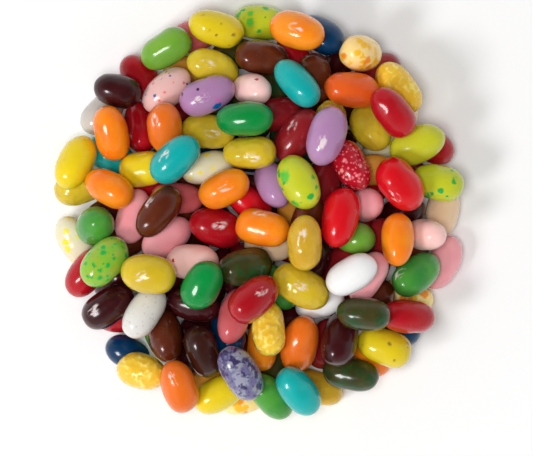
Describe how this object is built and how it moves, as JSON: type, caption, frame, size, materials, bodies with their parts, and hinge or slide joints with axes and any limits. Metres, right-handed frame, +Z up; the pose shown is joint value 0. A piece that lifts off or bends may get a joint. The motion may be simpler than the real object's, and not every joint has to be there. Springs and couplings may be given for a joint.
{
  "type": "heap of jelly beans",
  "caption": "Round heap of loose glossy jelly beans in many colours, lying on a flat surface; the beans on top lift off.",
  "frame": {"origin": "on the surface that the heap lies on, under the middle of the heap's box", "axes": "+Z up, out of the surface; +X to the right and +Y away from a person who looks down on the heap"},
  "size_m": [0.118, 0.1196, 0.0378],
  "materials": {
    "apple_green": "polished sugar shell",
    "blackcurrant": "polished sugar shell",
    "blotched_cream": "polished sugar shell",
    "brick_orange": "polished sugar shell",
    "bubblegum": "polished sugar shell",
    "burgundy": "polished sugar shell",
    "caramel": "polished sugar shell",
    "cherry": "polished sugar shell",
    "citron": "polished sugar shell",
    "clear_rose": "polished sugar shell",
    "clear_yellow": "polished sugar shell",
    "cola_brown": "polished sugar shell",
    "custard": "polished sugar shell",
    "dark_olive": "polished sugar shell",
    "deep_orange": "polished sugar shell",
    "emerald": "polished sugar shell",
    "espresso": "polished sugar shell",
    "flecked_lavender": "polished sugar shell",
    "flecked_pink": "polished sugar shell",
    "flecked_red": "polished sugar shell",
    "honey": "polished sugar shell",
    "lavender": "polished sugar shell",
    "lemon": "polished sugar shell",
    "mango": "polished sugar shell",
    "marbled_grey": "polished sugar shell",
    "mid_green": "polished sugar shell",
    "navy": "polished sugar shell",
    "olive_yellow": "polished sugar shell",
    "orange": "polished sugar shell",
    "pale_pink": "polished sugar shell",
    "peach": "polished sugar shell",
    "salmon": "polished sugar shell",
    "scarlet": "polished sugar shell",
    "smoke_grey": "polished sugar shell",
    "speckled_green": "polished sugar shell",
    "speckled_pear": "polished sugar shell",
    "speckled_white": "polished sugar shell",
    "spotted_yellow": "polished sugar shell",
    "teal": "polished sugar shell",
    "white": "polished sugar shell"
  },
  "bodies": {
    "heap": {"apple_green_beans": "apple_green", "blackcurrant_beans": "blackcurrant", "blotched_cream_beans": "blotched_cream", "brick_orange_beans": "brick_orange", "bubblegum_beans": "bubblegum", "burgundy_beans": "burgundy", "caramel_beans": "caramel", "cherry_beans": "cherry", "citron_beans": "citron", "clear_rose_beans": "clear_rose", "clear_yellow_beans": "clear_yellow", "cola_brown_beans": "cola_brown", "custard_beans": "custard", "dark_olive_beans": "dark_olive", "deep_orange_beans": "deep_orange", "emerald_beans": "emerald", "espresso_beans": "espresso", "flecked_lavender_beans": "flecked_lavender", "flecked_pink_beans": "flecked_pink", "flecked_red_beans": "flecked_red", "honey_beans": "honey", "lavender_beans": "lavender", "lemon_beans": "lemon", "mango_beans": "mango", "mid_green_beans": "mid_green", "navy_beans": "navy", "olive_yellow_beans": "olive_yellow", "orange_beans": "orange", "pale_pink_beans": "pale_pink", "peach_beans": "peach", "salmon_beans": "salmon", "scarlet_beans": "scarlet", "smoke_grey_beans": "smoke_grey", "speckled_green_beans": "speckled_green", "speckled_pear_beans": "speckled_pear", "speckled_white_beans": "speckled_white", "spotted_yellow_beans": "spotted_yellow", "teal_beans": "teal", "white_beans": "white"},
    "loose_cherry_bean": {"loose_cherry_bean": "cherry"},
    "loose_cola_brown_bean": {"loose_cola_brown_bean": "cola_brown"},
    "loose_dark_olive_bean": {"loose_dark_olive_bean": "dark_olive"},
    "loose_emerald_bean": {"loose_emerald_bean": "emerald"},
    "loose_lavender_bean": {"loose_lavender_bean": "lavender"},
    "loose_lemon_bean": {"loose_lemon_bean": "lemon"},
    "loose_marbled_grey_bean": {"loose_marbled_grey_bean": "marbled_grey"},
    "loose_orange_bean": {"loose_orange_bean": "orange"},
    "loose_scarlet_bean": {"loose_scarlet_bean": "scarlet"},
    "loose_speckled_pear_bean": {"loose_speckled_pear_bean": "speckled_pear"},
    "loose_spotted_yellow_bean": {"loose_spotted_yellow_bean": "spotted_yellow"},
    "loose_teal_bean": {"loose_teal_bean": "teal"}
  },
  "joints": [
    {"name": "lift_cherry_bean", "type": "slide", "parent": "heap", "child": "loose_cherry_bean", "axis": [0, 0, 1], "range_m": [0, 0.04]},
    {"name": "lift_cola_brown_bean", "type": "slide", "parent": "heap", "child": "loose_cola_brown_bean", "axis": [0, 0, 1], "range_m": [0, 0.04]},
    {"name": "lift_dark_olive_bean", "type": "slide", "parent": "heap", "child": "loose_dark_olive_bean", "axis": [0, 0, 1], "range_m": [0, 0.04]},
    {"name": "lift_emerald_bean", "type": "slide", "parent": "heap", "child": "loose_emerald_bean", "axis": [0, 0, 1], "range_m": [0, 0.04]},
    {"name": "lift_lavender_bean", "type": "slide", "parent": "heap", "child": "loose_lavender_bean", "axis": [0, 0, 1], "range_m": [0, 0.04]},
    {"name": "lift_lemon_bean", "type": "slide", "parent": "heap", "child": "loose_lemon_bean", "axis": [0, 0, 1], "range_m": [0, 0.04]},
    {"name": "lift_marbled_grey_bean", "type": "slide", "parent": "heap", "child": "loose_marbled_grey_bean", "axis": [0, 0, 1], "range_m": [0, 0.04]},
    {"name": "lift_orange_bean", "type": "slide", "parent": "heap", "child": "loose_orange_bean", "axis": [0, 0, 1], "range_m": [0, 0.04]},
    {"name": "lift_scarlet_bean", "type": "slide", "parent": "heap", "child": "loose_scarlet_bean", "axis": [0, 0, 1], "range_m": [0, 0.04]},
    {"name": "lift_speckled_pear_bean", "type": "slide", "parent": "heap", "child": "loose_speckled_pear_bean", "axis": [0, 0, 1], "range_m": [0, 0.04]},
    {"name": "lift_spotted_yellow_bean", "type": "slide", "parent": "heap", "child": "loose_spotted_yellow_bean", "axis": [0, 0, 1], "range_m": [0, 0.04]},
    {"name": "lift_teal_bean", "type": "slide", "parent": "heap", "child": "loose_teal_bean", "axis": [0, 0, 1], "range_m": [0, 0.04]}
  ]
}
